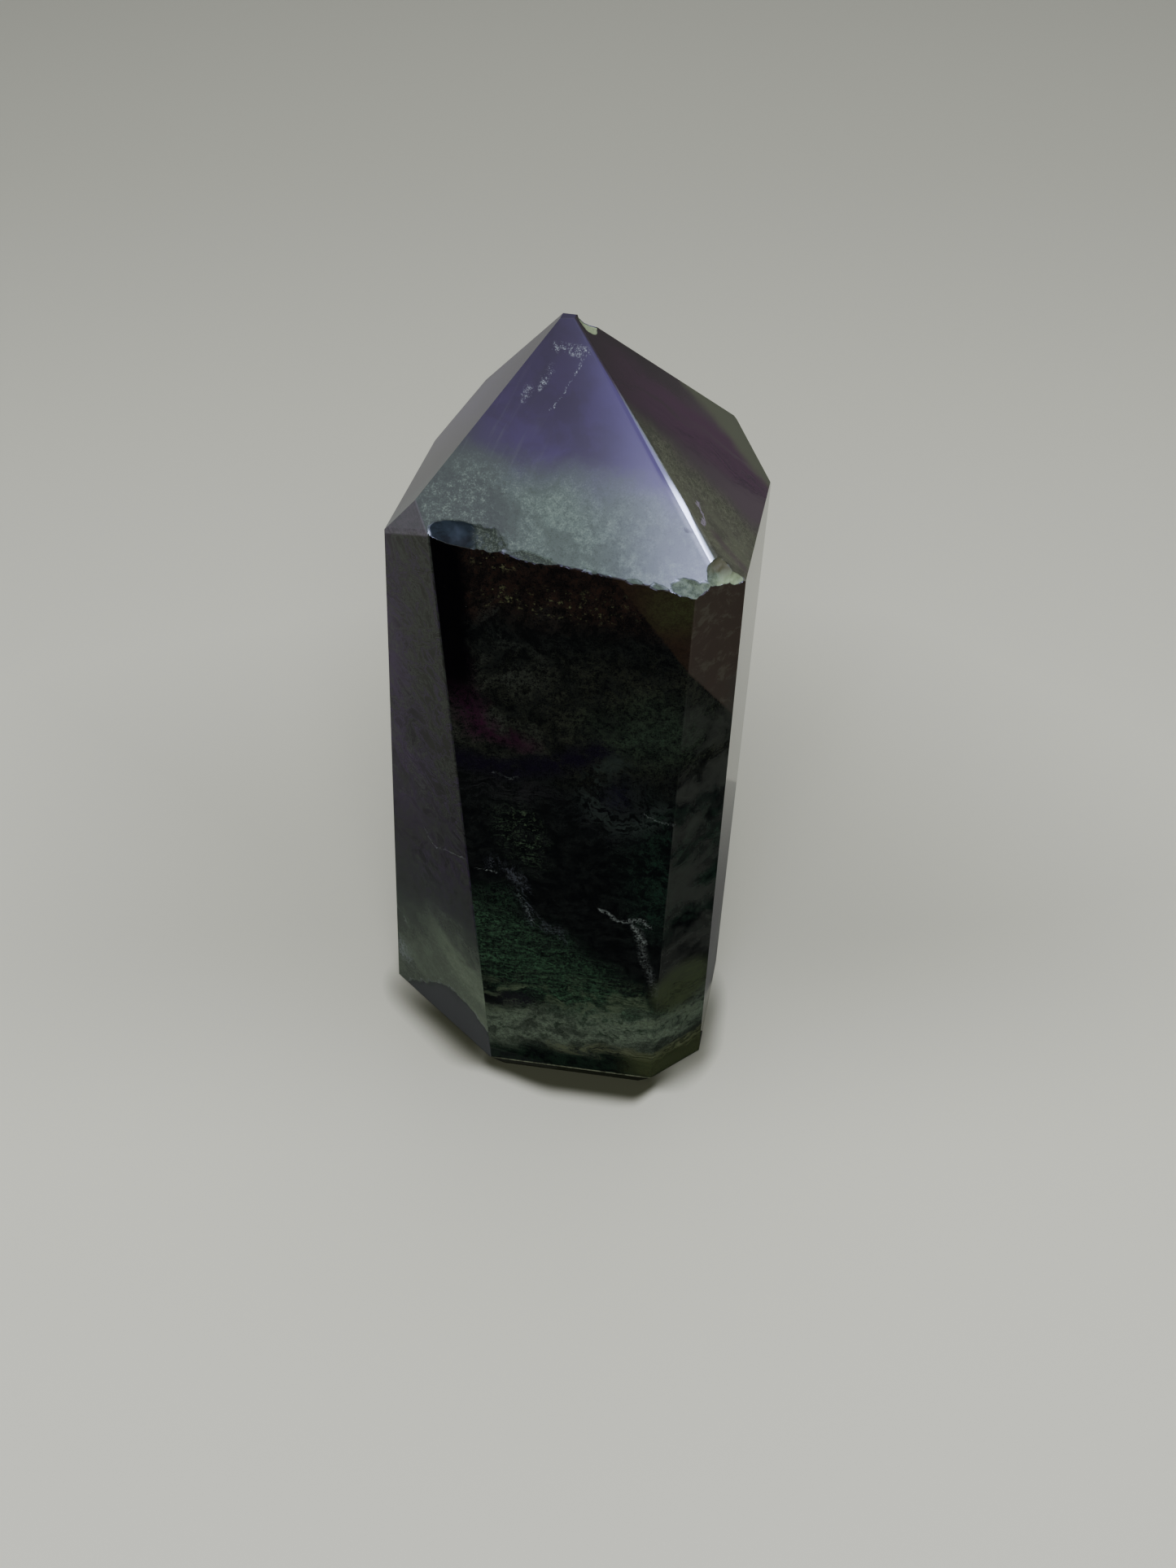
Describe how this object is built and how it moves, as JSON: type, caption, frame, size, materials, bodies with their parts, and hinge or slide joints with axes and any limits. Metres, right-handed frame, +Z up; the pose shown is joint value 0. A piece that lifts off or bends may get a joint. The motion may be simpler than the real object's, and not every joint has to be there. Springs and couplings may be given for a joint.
{
  "type": "fluorite point",
  "caption": "Hand-ground, polished fluorite tower: a leaning many-sided column with a faceted point, chipped shoulders and a flat foot it stands on.",
  "frame": {"origin": "centre of the stone's outline, on the floor that its flat foot stands on", "axes": "+Z up towards the tip, -Y the way the wide front face looks, +X to that face's right"},
  "size_m": [0.0524, 0.0358, 0.1107],
  "materials": {
    "fluorite": "polished stone, dark green and purple bands, see-through only at its thin edges"
  },
  "bodies": {
    "root": {"fluorite_point": "fluorite"}
  },
  "joints": []
}
